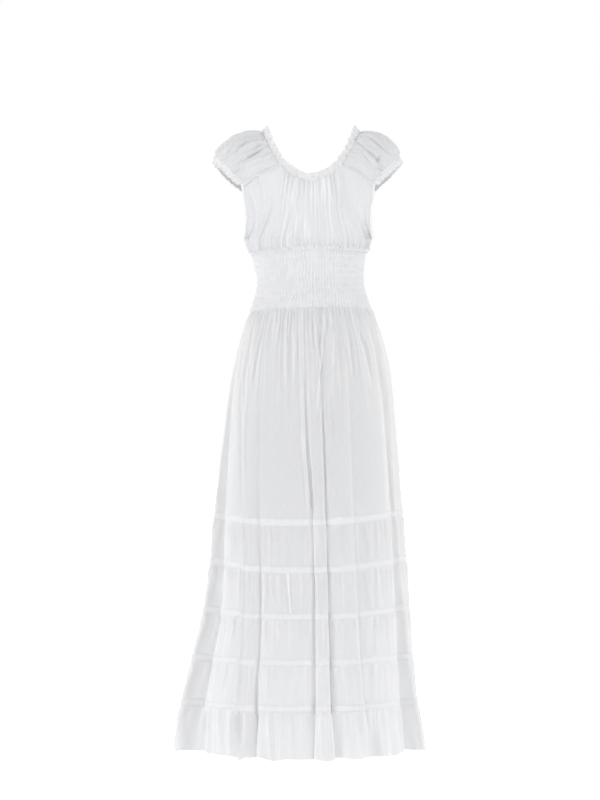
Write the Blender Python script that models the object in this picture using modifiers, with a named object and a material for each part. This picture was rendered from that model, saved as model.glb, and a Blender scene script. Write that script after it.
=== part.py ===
"""Maxi dress in white cotton voile, hollow, filled out as when it is worn.

Metres, +Z up. The front of the dress faces -Y and its left sleeve is at +X. The origin is midway
between the two sleeves, where they rest on the shoulders. The bodice, sleeves and bands are patches
between the seams. The smocking is a ring between the half sizes of SECTIONS. The yoke, tiers and
flounce add the folds of FOLDS and have a back and a front piece each, joined at the sides.
"""

import math
from bisect import bisect_right

import bmesh
import bpy
from mathutils import Vector

# Cloth walls, the gap between sewn pieces and the tape between the tiers
WALL = 0.0012
SEAM_GAP = 0.0004
TAPE_WIDTH = 0.016

# Heights of the horizontal seams
WAIST_TOP = -0.262
WAIST_LOW = -0.386
TIER_SEAMS = (-0.860, -0.964, -1.076, -1.186, -1.290)
HEM = -1.403

# Half sizes of the dress at each height. back_drop lowers the middle of the back below its sides.
SECTION_COLUMNS = ("height", "left", "right", "back", "front", "back_drop")
SECTIONS = (
    (-0.262, 0.136, 0.125, 0.092, 0.098, -0.008),
    (-0.294, 0.127, 0.121, 0.086, 0.092, -0.006),
    (-0.322, 0.122, 0.120, 0.083, 0.090, -0.004),
    (-0.345, 0.125, 0.123, 0.085, 0.092, -0.003),
    (-0.386, 0.138, 0.136, 0.098, 0.101, -0.002),
    (-0.460, 0.163, 0.163, 0.130, 0.117, 0.002),
    (-0.552, 0.184, 0.183, 0.149, 0.131, 0.006),
    (-0.690, 0.202, 0.197, 0.158, 0.149, 0.011),
    (-0.874, 0.223, 0.212, 0.176, 0.174, 0.015),
    (-0.966, 0.230, 0.219, 0.188, 0.187, 0.018),
    (-1.076, 0.245, 0.226, 0.203, 0.202, 0.010),
    (-1.186, 0.270, 0.233, 0.218, 0.217, 0.002),
    (-1.290, 0.295, 0.244, 0.233, 0.231, 0.000),
    (-1.403, 0.306, 0.261, 0.246, 0.243, 0.000),
)
TILT = 0.030  # fall of the waist towards the left side, for each metre across, and none at the hem

# Long skirt folds. Each row starts at a valley, whose angle is given at the waist, at the first seam
# tape and at the hem, counted from +X towards the back. The cloth from there to the next valley
# stands level beyond the outline, with a crown in its middle; the valley itself is notch deeper and
# tucked that far under the higher side. early is the share of the depth reached at the first tape.
FOLD_COLUMNS = ("waist", "tape", "hem", "level", "crown", "notch", "tuck", "early")
FOLDS = {
    "left_side": (-16.0, -16.0, -16.0, 0.000, 0.002, 0.012, 0.0, 0.50),
    "left_panel": (8.0, 10.0, 13.0, -0.056, 0.012, 0.008, -2.0, 0.40),
    "left_ridge": (30.0, 44.0, 57.6, 0.004, 0.010, 0.010, 3.0, 0.50),
    "left_thigh": (46.0, 58.0, 66.0, -0.004, 0.016, 0.012, 0.0, 0.12),
    "centre_ridge": (84.0, 91.0, 91.5, 0.002, 0.010, 0.014, 0.0, 0.55),
    "right_thigh": (96.5, 99.4, 101.0, -0.002, 0.016, 0.013, 0.0, 0.55),
    "right_panel": (118.0, 118.0, 122.5, -0.042, 0.012, 0.008, -3.0, 0.12),
    "right_side": (150.0, 152.0, 168.0, 0.000, 0.002, 0.012, 2.0, 0.50),
    "front_right": (192.0, 193.0, 194.0, -0.030, 0.016, 0.010, -1.0, 0.40),
    "front_right_thigh": (226.0, 227.0, 228.0, 0.000, 0.018, 0.014, 1.0, 0.50),
    "front_left_thigh": (264.0, 262.0, 261.0, 0.000, 0.018, 0.016, 0.0, 0.50),
    "front_left": (306.0, 305.0, 304.0, -0.026, 0.016, 0.012, -1.0, 0.40),
}
PANEL_SHARES = (0.08, 0.36, 0.64, 0.92)  # where a fold's own points lie between its two valleys
# The skirt's pieces are joined at the sides: the fold and the number of its point at each seam, which
# is one that the gathers draw in
SIDE_SEAMS = {"left": ("left_side", 3), "right": ("right_side", 2)}

# Small gathers, as deep as the cloth is drawn in
TIER_GATHER = 0.0018
FLOUNCE_GATHER = 0.0030
HEM_RIPPLE = 0.0060
BELOW_TAPE = 0.012  # where the gathers under a seam tape are deepest
# Rows of the yoke: height and gather
YOKE_ROWS = (
    (-0.398, 0.0045),
    (-0.432, 0.0028),
    (-0.490, 0.0010),
    (-0.600, 0.0),
    (-0.730, 0.0),
)

# Smocked waist: rows of elastic thread with puckered channels between them
ELASTIC_LINES = 10
SMOCK_POINTS = 60
CHANNEL_RISE = 0.0024
PUCKER = 0.0009
SMOCK_INSIDE_ROWS = 4

# Neckline seam, from the middle of the back over the left shoulder to the middle of the front
NECK_SEAM = {
    "back_middle": (0.000, 0.098, -0.099),
    "back_curve": (0.046, 0.096, -0.082),
    "back_raglan": (0.071, 0.088, -0.058),
    "back_slope": (0.093, 0.064, -0.022),
    "back_shoulder": (0.106, 0.034, 0.006),
    "shoulder": (0.113, 0.000, 0.018),
    "front_shoulder": (0.108, -0.040, 0.002),
    "front_slope": (0.096, -0.074, -0.036),
    "front_raglan": (0.080, -0.098, -0.074),
    "front_curve": (0.046, -0.118, -0.113),
    "front_middle": (0.000, -0.126, -0.130),
}
NECK_AXIS = Vector((0.0, 0.010, 0.160))  # the casing rises towards this point
NECK_WAVES = 40
# Rows of a casing and its frill: distance from the seam and ripple
NECK_FRILL = ((SEAM_GAP, 0.0), (0.011, 0.0006), (0.019, 0.0030))

# Seam round the left sleeve: down the back of the armhole, underneath, up its front, over the cap
ARM_SEAM = {
    "back_junction": (0.152, 0.078, -0.104),
    "back_upper": (0.149, 0.085, -0.136),
    "back_middle": (0.143, 0.082, -0.168),
    "back_lower": (0.138, 0.067, -0.197),
    "back_under": (0.137, 0.038, -0.221),
    "underarm": (0.139, 0.000, -0.230),
    "front_under": (0.138, -0.042, -0.221),
    "front_lower": (0.139, -0.076, -0.196),
    "front_middle": (0.143, -0.093, -0.166),
    "front_upper": (0.147, -0.098, -0.138),
    "front_junction": (0.149, -0.093, -0.112),
    "front_cap": (0.179, -0.070, -0.076),
    "front_crown": (0.202, -0.038, -0.048),
    "crown": (0.212, 0.000, -0.036),
    "back_crown": (0.204, 0.036, -0.045),
    "back_cap": (0.182, 0.062, -0.067),
}
RAGLAN_MIDDLE = {"back": (0.113, 0.091, -0.077), "front": (0.118, -0.103, -0.092)}
REACH_FROM = 0.150  # the left panels and cap reach further out than the right ones
PANEL_REACH = {1: 1.02, -1: 0.93}
CAP_REACH = {1: 1.07, -1: 1.03}
ARM_BELOW = Vector((0.200, 0.0, -0.110))  # the binding of the armhole turns towards this point
ARM_ABOVE = Vector((0.270, 0.0, -0.155))  # the cuff on the cap turns towards this one
ARM_BLEND = (-0.135, -0.075)  # heights between which one direction becomes the other
CUFF_WAVES = 15
CUFF_FRILL = ((SEAM_GAP, 0.0), (0.010, 0.0006), (0.018, 0.0026))
BINDING_WIDTH = 0.008

# Fullness of the upper pieces
PUFF = 0.021
PUFF_POWER = 0.6  # below 1, so that the puff is full near its edges too
SLEEVE_GATHERS = 10
SLEEVE_GATHER = 0.0030
GATHER_AT_NECK = 0.4  # share of that depth at the neckline, rising to all of it at the cuff
SLEEVE_STEPS = 20  # faces from the back raglan seam to the front one
SLEEVE_ROWS = (0.0, 0.14, 0.36, 0.58, 0.78, 0.92, 1.0)  # shares from the neckline to the cuff
SLEEVE_SIZE = 0.11
BLOUSE = {"side": 0.011, "middle": 0.004}  # the bodice hangs over the top of the smocking
BLOUSE_HEIGHTS = (-0.262, -0.165)
BLOUSE_POWER = 0.65  # below 1, so that it is fullest low down
BUST = {"rise": 0.018, "off_middle": 0.20, "width": 0.16}  # the last two as shares of the panel
SHOULDER_BLADES = 0.010
BODICE_GATHER = 0.0026
BODICE_GATHERS = 16
GATHERED_WIDTH = 0.26  # share of a panel's width either side of its middle, where it is gathered
PANEL_STEPS = {"back": 48, "front": 40}  # faces across a panel
PANEL_SIZE = 0.2
SIDE_ROWS = (0.0, 0.4, 1.0)  # shares of the side seam, from the waist to the underarm
ARMHOLE_ROWS = (0.2, 0.4, 0.6, 0.8, 1.0)  # shares of the armhole, from there to the raglan seam
RAGLAN_SHARE = 0.24  # of the top edge of a bodice panel, at either end
FADE_SHARE = 1 / 6  # of a panel's width at either end, over which its fullness fades to the seam

WHITE = (0.86, 0.87, 0.90, 1.0)
TAPE_WHITE = (0.93, 0.93, 0.94, 1.0)
ROUGHNESS = 0.85


def smooth(share):
    """0 to 1 with a soft start and end."""
    share = min(1.0, max(0.0, share))
    return share * share * (3.0 - 2.0 * share)


def curve_through(knots, values, at):
    """The value at a place on a smooth curve through values, which may be numbers or points."""
    last = len(knots) - 1
    i = min(max(bisect_right(knots, at) - 1, 0), last - 1)
    span = knots[i + 1] - knots[i]
    t = (at - knots[i]) / span

    def slope(j):
        before, after = max(j - 1, 0), min(j + 1, last)
        return (values[after] - values[before]) / (knots[after] - knots[before])

    return (
        values[i] * (2 * t**3 - 3 * t**2 + 1)
        + slope(i) * ((t**3 - 2 * t**2 + t) * span)
        + values[i + 1] * (3 * t**2 - 2 * t**3)
        + slope(i + 1) * ((t**3 - t**2) * span)
    )


class Route:
    """A smooth line through points, measured by its length. A closed one passes its start twice."""

    def __init__(self, points, closed=False):
        points = [Vector(p) for p in points]
        self.count = len(points)
        self.closed = closed
        if closed:
            points = points[-3:] + points + points[:4]
        self.first = 3 if closed else 0
        self.points = points
        self.knots = [0.0]
        for a, b in zip(points, points[1:]):
            self.knots.append(self.knots[-1] + (b - a).length)

    def at(self, place):
        return curve_through(self.knots, self.points, place)

    def place(self, start, end, share):
        """The place a share of the way from one numbered point of the route to another."""
        a, b = self.knots[self.first + start], self.knots[self.first + end]
        return a + (b - a) * share

    def between(self, start, end, share):
        return self.at(self.place(start, end, share))

    def length(self, start, end):
        return abs(self.knots[self.first + end] - self.knots[self.first + start])

    def direction(self, place):
        step = 0.0005
        return (self.at(place + step) - self.at(place - step)).normalized()


# Outline and folds of the smocking and the skirt


def section(height):
    """The named half sizes of the dress at a height."""
    depths = [-row[0] for row in SECTIONS]
    columns = zip(*SECTIONS)
    return {
        name: curve_through(depths, column, -height)
        for name, column in zip(SECTION_COLUMNS, columns)
    }


def outline_point(degrees, height, offset=0.0):
    """A point of the plain outline at an angle from +X, moved out by offset."""
    sizes = section(height)
    across, away = math.cos(math.radians(degrees)), math.sin(math.radians(degrees))
    wide = sizes["left"] if across > 0 else sizes["right"]
    deep = sizes["back"] if away > 0 else sizes["front"]
    normal = Vector((across / wide, away / deep, 0.0)).normalized()
    point = Vector((wide * across, deep * away, height)) + normal * offset
    down = (height - WAIST_TOP) / (HEM - WAIST_TOP)
    point.z -= sizes["back_drop"] * max(0.0, away) ** 2 + TILT * point.x * (1.0 - down**2)
    return point


def through_three(share, middle_share, start, middle, end):
    """The parabola through start at 0, middle at middle_share and end at 1."""
    m = middle_share
    return (
        start * (share - m) * (share - 1) / m
        + middle * share * (share - 1) / (m * (m - 1))
        + end * share * (share - m) / (1 - m)
    )


def fold_points(height):
    """The angle and the offset of each point of the folded ring at a height."""
    folds = [dict(zip(FOLD_COLUMNS, row)) for row in FOLDS.values()]
    share = (height - WAIST_LOW) / (HEM - WAIST_LOW)
    tape_share = (TIER_SEAMS[0] - WAIST_LOW) / (HEM - WAIST_LOW)
    for fold in folds:
        power = math.log(fold["early"]) / math.log(tape_share)
        fold["gain"] = max(0.0, share) ** power
        angles = (fold["waist"], fold["tape"], fold["hem"])
        fold["angle"] = through_three(share, tape_share, *angles)
    points = []
    for k, fold in enumerate(folds):
        before, after = folds[k - 1], folds[(k + 1) % len(folds)]
        gain, start = fold["gain"], fold["angle"]
        width = (after["angle"] - start) % 360.0
        low = min(fold["level"] * gain, before["level"] * before["gain"])
        points.append((start + fold["tuck"] * gain, low - fold["notch"] * gain))
        for place in PANEL_SHARES:
            crown = fold["crown"] * math.sin(math.pi * place)
            points.append((start + place * width, (fold["level"] + crown) * gain))
    return points


def skirt_row(height, gather=0.0):
    """One ring of the skirt, with every other point drawn in by gather."""
    return [
        outline_point(degrees, height, offset - gather * (i % 2))
        for i, (degrees, offset) in enumerate(fold_points(height))
    ]


# Seams of the bodice and the sleeves


def blouse(point):
    """Pushes the lower bodice out, where it is fuller than the smocking it is sewn to."""
    low, high = BLOUSE_HEIGHTS
    share = (point.z - low) / (high - low)
    if not 0.0 < share < 1.0:
        return point
    out = Vector((point.x, point.y, 0.0)).normalized()
    fullness = BLOUSE["middle"] + (BLOUSE["side"] - BLOUSE["middle"]) * out.x**2
    return point + out * fullness * math.sin(math.pi * share**BLOUSE_POWER)


def neck_route():
    left = [Vector(p) for p in NECK_SEAM.values()]
    right = [Vector((-p.x, p.y, p.z)) for p in left[-2:0:-1]]
    return Route(left + right, closed=True)


def arm_route(side):
    points = []
    for x, y, z in ARM_SEAM.values():
        wide = min(x, REACH_FROM) * PANEL_REACH[side] + max(x - REACH_FROM, 0.0) * CAP_REACH[side]
        points.append((side * wide, y, z))
    return Route(points, closed=True)


def neck_number(name, side=1):
    """The number of a point of the neckline, on the left or, mirrored, on the right."""
    number = list(NECK_SEAM).index(name)
    return number if side > 0 else 2 * (len(NECK_SEAM) - 1) - number


def arm_number(name):
    return list(ARM_SEAM).index(name)


def raglan_route(neck, arm, face, side):
    """The seam from the neckline to the armhole, on the back or the front of one sleeve."""
    start = neck.between(neck_number(f"{face}_raglan", side), 0, 0.0)
    end = arm.between(arm_number(f"{face}_junction"), 0, 0.0)
    x, y, z = RAGLAN_MIDDLE[face]
    return Route([start, (side * x, y, z), end])


def towards_arm(point):
    """The direction into the arm opening from a point of its seam."""
    low, high = ARM_BLEND
    aim = ARM_BELOW.lerp(ARM_ABOVE, smooth((point.z - low) / (high - low)))
    return (Vector((math.copysign(aim.x, point.x), aim.y, aim.z)) - point).normalized()


def patch(bottom, top, left, right):
    """A surface between four edge functions: bottom and top run left to right, the others up. What
    the left and right edges depart from straight lines fades with the third power of the distance."""

    def at(u, v):
        point = bottom(u) * (1 - v) + top(u) * v
        point += (left(v) - left(0) * (1 - v) - left(1) * v) * (1 - u) ** 3
        return point + (right(v) - right(0) * (1 - v) - right(1) * v) * u**3

    return at


def bodice_patch(face):
    """The back or front bodice panel, from the left to the right and from the waist up, and the
    heights of its rows, which meet the side seams and the armholes at the places named above."""
    neck = neck_route()
    arms = {side: arm_route(side) for side in (1, -1)}
    raglans = {side: raglan_route(neck, arms[side], face, side) for side in (1, -1)}
    sign = 1 if face == "back" else -1
    middle = neck_number(f"{face}_middle")
    raglan = neck_number(f"{face}_raglan")

    def bottom(u):
        return outline_point(sign * 180.0 * u, WAIST_TOP)

    def top(u):
        if u < RAGLAN_SHARE:
            return raglans[1].between(2, 0, u / RAGLAN_SHARE)
        if u > 1 - RAGLAN_SHARE:
            return raglans[-1].between(0, 2, (u - 1 + RAGLAN_SHARE) / RAGLAN_SHARE)
        share = (u - RAGLAN_SHARE) / (1 - 2 * RAGLAN_SHARE)
        return neck.between(raglan, 2 * middle - raglan, share)

    def side_edge(side):
        arm, waist = arms[side], bottom(0 if side > 0 else 1)
        ends = (arm_number("underarm"), arm_number(f"{face}_junction"))
        underarm = arm.between(*ends, 0)
        seam = (underarm - waist).length
        share = seam / (seam + arm.length(*ends))

        def at(v):
            if v < share:
                return waist.lerp(underarm, v / share)
            return arm.between(*ends, (v - share) / (1 - share))

        return at, share

    (left, share), (right, _) = side_edge(1), side_edge(-1)
    heights = [share * v for v in SIDE_ROWS] + [share + (1 - share) * v for v in ARMHOLE_ROWS]
    return patch(bottom, top, left, right), heights


def sleeve_patch(side):
    """A cap sleeve: u runs from the back raglan seam to the front one, v from the neck to the cuff."""
    neck, arm = neck_route(), arm_route(side)
    back, front = (raglan_route(neck, arm, face, side) for face in ("back", "front"))
    neck_ends = [neck_number(f"{face}_raglan", side) for face in ("back", "front")]
    arm_ends = [arm_number("back_junction") + len(ARM_SEAM), arm_number("front_junction")]
    return patch(
        lambda u: neck.between(*neck_ends, u),
        lambda u: arm.between(*arm_ends, u),
        lambda v: back.between(0, 2, v),
        lambda v: front.between(0, 2, v),
    )


# Solids


def make_material(name, colour):
    material = bpy.data.materials.new(name)
    material.use_nodes = True
    shader = material.node_tree.nodes["Principled BSDF"]
    shader.inputs["Base Color"].default_value = colour
    shader.inputs["Roughness"].default_value = ROUGHNESS
    shader.inputs["Metallic"].default_value = 0.0
    return material


def loft(name, rows, material, round_ring, round_wall=False):
    """An object whose faces join each row of points to the next one."""
    mesh = bmesh.new()
    verts = [[mesh.verts.new(point) for point in row] for row in rows]
    pairs = list(zip(verts, verts[1:])) + ([(verts[-1], verts[0])] if round_wall else [])
    for row, next_row in pairs:
        for i in range(len(row) - (0 if round_ring else 1)):
            j = (i + 1) % len(row)
            mesh.faces.new((row[i], row[j], next_row[j], next_row[i]))
    data = bpy.data.meshes.new(name)
    mesh.to_mesh(data)
    mesh.free()
    data.materials.append(material)
    data.shade_smooth()
    thing = bpy.data.objects.new(name, data)
    bpy.data.collections["maxi_dress"].objects.link(thing)
    return thing


def face_outwards(thing):
    """Turns the open surface round if its faces look towards the inside of the dress."""
    mesh = bmesh.new()
    mesh.from_mesh(thing.data)
    middle_z = sum(v.co.z for v in mesh.verts) / len(mesh.verts)
    inside = Vector((0.0, 0.0, min(middle_z, -0.2)))
    outward = sum(
        face.normal.dot(face.calc_center_median() - inside) * face.calc_area() for face in mesh.faces
    )
    if outward < 0:
        bmesh.ops.reverse_faces(mesh, faces=mesh.faces)
    mesh.to_mesh(thing.data)
    mesh.free()


def cloth(name, rows, material, round_ring=False, side=-1.0):
    """A cloth wall inside the lofted rows, or outside them where side is 1."""
    thing = loft(name, rows, material, round_ring)
    face_outwards(thing)
    solid = thing.modifiers.new("wall", "SOLIDIFY")
    solid.thickness = WALL
    solid.offset = side
    return thing


def within(share, size):
    """A share of a piece, held off its two seams by the gap."""
    edge = SEAM_GAP / size
    return min(max(share, edge), 1 - edge)


def make_bodice(face, steps, material):
    at, heights = bodice_patch(face)
    rows = []
    for height in heights:
        row = []
        v = within(height, PANEL_SIZE)
        for i in range(steps + 1):
            u = within(i / steps, PANEL_SIZE)
            point = blouse(at(u, v))
            out = Vector((point.x, 2.0 * point.y, 0.0)).normalized()
            gathered = math.exp(-(((u - 0.5) / GATHERED_WIDTH) ** 2))
            fullness = math.cos(2 * math.pi * BODICE_GATHERS * u) * BODICE_GATHER * gathered
            if face == "front":
                off_bust = (abs(u - 0.5) - BUST["off_middle"]) / BUST["width"]
                fullness += BUST["rise"] * math.exp(-(off_bust**2))
            else:
                fullness += SHOULDER_BLADES
            fade = math.sqrt(math.sin(math.pi * v)) * smooth(u / FADE_SHARE) * smooth((1 - u) / FADE_SHARE)
            row.append(point + out * fullness * fade)
        rows.append(row)
    cloth(f"bodice_{face}", rows, material)


def make_sleeve(side, material):
    at = sleeve_patch(side)
    step = 0.01  # how far either side of a point its direction is read, as a share of the patch
    rows = []
    for height in SLEEVE_ROWS:
        row = []
        v = within(height, SLEEVE_SIZE)
        for i in range(SLEEVE_STEPS + 1):
            u = within(i / SLEEVE_STEPS, SLEEVE_SIZE)
            along = at(min(u + step, 1), v) - at(max(u - step, 0), v)
            down = at(u, min(v + step, 1)) - at(u, max(v - step, 0))
            out = along.cross(down).normalized() * side
            full = (math.sin(math.pi * u) * math.sin(math.pi * v)) ** PUFF_POWER
            gather = SLEEVE_GATHER * math.cos(2 * math.pi * SLEEVE_GATHERS * u)
            depth = GATHER_AT_NECK + (1 - GATHER_AT_NECK) * v
            row.append(at(u, v) + out * full * (PUFF + gather * depth))
        rows.append(row)
    cloth("sleeve_left" if side > 0 else "sleeve_right", rows, material)


def frilled_row(route, places, width, aim, ripple=0.0, per_wave=1):
    """Points along a seam, moved towards its opening by width and rippled."""
    row = []
    for i, place in enumerate(places):
        seam = route.at(place)
        inward = aim(seam)
        out = route.direction(place).cross(inward).normalized()
        if out.dot(seam - Vector((0.0, 0.0, seam.z))) < 0:
            out = -out
        wave = ripple * math.cos(2 * math.pi * i / per_wave)
        row.append(blouse(seam) + inward * width + out * wave)
    return row


def make_neck_casing(material):
    """The elastic casing round the neckline with the little frill that stands above it."""
    route, per_wave = neck_route(), 3
    count = per_wave * NECK_WAVES
    places = [route.place(0, route.count, i / count) for i in range(count)]

    def aim(seam):
        return (NECK_AXIS - seam).normalized()

    rows = [frilled_row(route, places, width, aim, ripple, per_wave) for width, ripple in NECK_FRILL]
    cloth("neck_casing", rows, material, round_ring=True)


def make_cuff(side, material):
    """The elastic casing and frill along the edge of a cap sleeve."""
    route, per_wave = arm_route(side), 2
    start = route.place(arm_number("front_junction"), 0, 0.0) + SEAM_GAP
    end = route.place(len(ARM_SEAM), 0, 0.0) - SEAM_GAP
    count = per_wave * CUFF_WAVES
    places = [start + (end - start) * i / count for i in range(count + 1)]
    rows = [
        frilled_row(route, places, width, towards_arm, ripple, per_wave)
        for width, ripple in CUFF_FRILL
    ]
    cloth("cuff_left" if side > 0 else "cuff_right", rows, material)


def make_binding(side, material):
    """The strip that binds the armhole below the sleeve, from the back raglan to the front one."""
    route = arm_route(side)
    under = arm_number("underarm")
    ends = {face: arm_number(f"{face}_junction") for face in ("back", "front")}
    places = [route.place(under, ends["back"], share) for share in ARMHOLE_ROWS[::-1]]
    places += [route.place(under, under, 0.0)]
    places += [route.place(under, ends["front"], share) for share in ARMHOLE_ROWS]
    places[0] += SEAM_GAP
    places[-1] -= SEAM_GAP
    rows = [frilled_row(route, places, width, towards_arm) for width in (SEAM_GAP, BINDING_WIDTH)]
    name = "armhole_binding_left" if side > 0 else "armhole_binding_right"
    cloth(name, rows, material, side=1.0)


def make_smocking(material):
    """The smocked waist: puckered channels outside, plain inside."""
    top, low = WAIST_TOP - SEAM_GAP, WAIST_LOW + SEAM_GAP
    angles = [360.0 * i / SMOCK_POINTS for i in range(SMOCK_POINTS)]
    rows = []
    steps = 2 * (ELASTIC_LINES - 1)
    for step in range(steps + 1):
        height = top + (low - top) * step / steps
        rise = CHANNEL_RISE if step % 2 else 0.0
        stagger = step // 2
        rows.append(
            [
                outline_point(a, height, rise + (PUCKER if rise else 0) * (-1) ** (i + stagger))
                for i, a in enumerate(angles)
            ]
        )
    for step in range(SMOCK_INSIDE_ROWS):
        height = low + (top - low) * step / (SMOCK_INSIDE_ROWS - 1)
        rows.append([outline_point(a, height, -WALL) for a in angles])
    thing = loft("waist_smocking", rows, material, round_ring=True, round_wall=True)
    mesh = bmesh.new()
    mesh.from_mesh(thing.data)
    if mesh.calc_volume(signed=True) < 0:
        bmesh.ops.reverse_faces(mesh, faces=mesh.faces)
    mesh.to_mesh(thing.data)
    mesh.free()


def seam_numbers():
    """The numbers of the points of a skirt ring at the left and the right side seam."""
    names, per_fold = list(FOLDS), len(PANEL_SHARES) + 1
    return [names.index(fold) * per_fold + point for fold, point in SIDE_SEAMS.values()]


def half_row(row, face):
    """The back or the front half of a skirt ring, held off the side seams by half a gap."""
    left, right = seam_numbers()
    part = row[left : right + 1] if face == "back" else row[right:] + row[: left + 1]
    for end, beside in ((0, 1), (-1, -2)):
        part[end] = part[end] + (part[beside] - part[end]).normalized() * SEAM_GAP / 2
    return part


def make_skirt(material, tape_material):
    """The gathered yoke, the tiers and the flounce, each a back and a front piece, with a tape
    between each two of them."""
    half = TAPE_WIDTH / 2
    tops = [WAIST_LOW] + [seam - half for seam in TIER_SEAMS]
    lows = [seam + half for seam in TIER_SEAMS] + [HEM]
    names = ["skirt_yoke"] + [f"tier_{n}" for n in range(1, len(TIER_SEAMS))] + ["flounce"]
    for name, top, low in zip(names, tops, lows):
        top -= SEAM_GAP / 2
        low += SEAM_GAP / 2
        if name == "skirt_yoke":
            middle = [skirt_row(height, gather) for height, gather in YOKE_ROWS]
            last = skirt_row(low)
        elif name == "flounce":
            heights = (top - BELOW_TAPE, (top + low) / 2)
            middle = [skirt_row(height, FLOUNCE_GATHER) for height in heights]
            last = skirt_row(HEM, HEM_RIPPLE)
        else:
            middle = [skirt_row(top - BELOW_TAPE, TIER_GATHER)]
            last = skirt_row(low)
        for face in ("back", "front"):
            rows = [half_row(row, face) for row in [skirt_row(top)] + middle + [last]]
            cloth(f"{name}_{face}", rows, material)
    for number, seam in enumerate(TIER_SEAMS, 1):
        edge = half - SEAM_GAP / 2
        rows = [skirt_row(seam + edge), skirt_row(seam - edge)]
        cloth(f"seam_tape_{number}", rows, tape_material, round_ring=True)


def main():
    for thing in list(bpy.data.objects):
        bpy.data.objects.remove(thing)
    collection = bpy.data.collections.new("maxi_dress")
    bpy.context.scene.collection.children.link(collection)
    voile = make_material("white_voile", WHITE)
    tape = make_material("white_tape", TAPE_WHITE)
    for face, steps in PANEL_STEPS.items():
        make_bodice(face, steps, voile)
    make_neck_casing(voile)
    for side in (1, -1):
        make_sleeve(side, voile)
        make_cuff(side, voile)
        make_binding(side, voile)
    make_smocking(voile)
    make_skirt(voile, tape)


main()
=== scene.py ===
import math

import bpy
import numpy as np
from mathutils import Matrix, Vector


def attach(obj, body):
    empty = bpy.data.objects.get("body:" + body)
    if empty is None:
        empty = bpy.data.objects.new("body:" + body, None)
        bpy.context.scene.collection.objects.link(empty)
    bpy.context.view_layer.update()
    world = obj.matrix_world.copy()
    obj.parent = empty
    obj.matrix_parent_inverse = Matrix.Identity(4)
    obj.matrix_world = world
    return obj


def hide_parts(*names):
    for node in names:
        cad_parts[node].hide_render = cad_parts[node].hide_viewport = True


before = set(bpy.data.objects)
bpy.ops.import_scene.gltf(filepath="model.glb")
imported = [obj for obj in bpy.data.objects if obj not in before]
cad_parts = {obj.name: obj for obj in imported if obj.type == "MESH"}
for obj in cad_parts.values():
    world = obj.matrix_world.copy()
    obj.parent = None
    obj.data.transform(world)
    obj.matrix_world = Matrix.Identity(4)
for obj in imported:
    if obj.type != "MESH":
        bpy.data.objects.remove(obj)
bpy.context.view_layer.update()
print("frame loaded")

# the dress in its own frame, in metres: +X is its left side, +Y its back, z = 0 between the sleeves
dress = {
    "clothThickness": 0.0006,
    "waistTop": -0.262,
    "waistLow": -0.386,
    "tierSeams": (-0.860, -0.964, -1.076, -1.186, -1.290),
    "tapeWidth": 0.016,
    "hem": -1.403,
    "floor": -1.502,
    "tilt": 0.030,
}

# half sizes of the dress at each height: height, left, right, back, front, drop of the back's middle
outlineSections = (
    (-0.262, 0.136, 0.125, 0.092, 0.098, -0.008),
    (-0.294, 0.127, 0.121, 0.086, 0.092, -0.006),
    (-0.322, 0.122, 0.120, 0.083, 0.090, -0.004),
    (-0.345, 0.125, 0.123, 0.085, 0.092, -0.003),
    (-0.386, 0.138, 0.136, 0.098, 0.101, -0.002),
    (-0.460, 0.163, 0.163, 0.130, 0.117, 0.002),
    (-0.552, 0.184, 0.183, 0.149, 0.131, 0.006),
    (-0.690, 0.202, 0.197, 0.158, 0.149, 0.011),
    (-0.874, 0.223, 0.212, 0.176, 0.174, 0.015),
    (-0.966, 0.230, 0.219, 0.188, 0.187, 0.018),
    (-1.076, 0.245, 0.226, 0.203, 0.202, 0.010),
    (-1.186, 0.270, 0.233, 0.218, 0.217, 0.002),
    (-1.290, 0.295, 0.244, 0.233, 0.231, 0.000),
    (-1.403, 0.306, 0.261, 0.246, 0.243, 0.000),
)

# skirt folds, each from its valley: angle at the waist, first tape and hem, level, crown, notch, tuck, early
skirtFolds = (
    (-16.0, -16.0, -16.0, 0.000, 0.002, 0.012, 0.0, 0.50),
    (8.0, 10.0, 13.0, -0.056, 0.012, 0.008, -2.0, 0.40),
    (30.0, 44.0, 57.6, 0.004, 0.010, 0.010, 3.0, 0.50),
    (46.0, 58.0, 66.0, -0.004, 0.016, 0.012, 0.0, 0.12),
    (84.0, 91.0, 91.5, 0.002, 0.010, 0.014, 0.0, 0.55),
    (96.5, 99.4, 101.0, -0.002, 0.016, 0.013, 0.0, 0.55),
    (118.0, 118.0, 122.5, -0.042, 0.012, 0.008, -3.0, 0.12),
    (150.0, 152.0, 168.0, 0.000, 0.002, 0.012, 2.0, 0.50),
    (192.0, 193.0, 194.0, -0.030, 0.016, 0.010, -1.0, 0.40),
    (226.0, 227.0, 228.0, 0.000, 0.018, 0.014, 1.0, 0.50),
    (264.0, 262.0, 261.0, 0.000, 0.018, 0.016, 0.0, 0.50),
    (306.0, 305.0, 304.0, -0.026, 0.016, 0.012, -1.0, 0.40),
)
panelShares = (0.08, 0.36, 0.64, 0.92)  # a fold's own points between its two valleys
softValley = 0.5  # thin cloth bridges part of each valley


def smoothStep(share):
    share = np.clip(share, 0.0, 1.0)
    return share * share * (3.0 - 2.0 * share)


def fadeEnds(shares, steepness):
    # 1 in the middle and 0 at both ends
    return smoothStep(steepness * shares) * smoothStep(steepness * (1 - shares))


def unit(vectors):
    return vectors / np.maximum(np.linalg.norm(vectors, axis=-1, keepdims=True), 1e-12)


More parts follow.
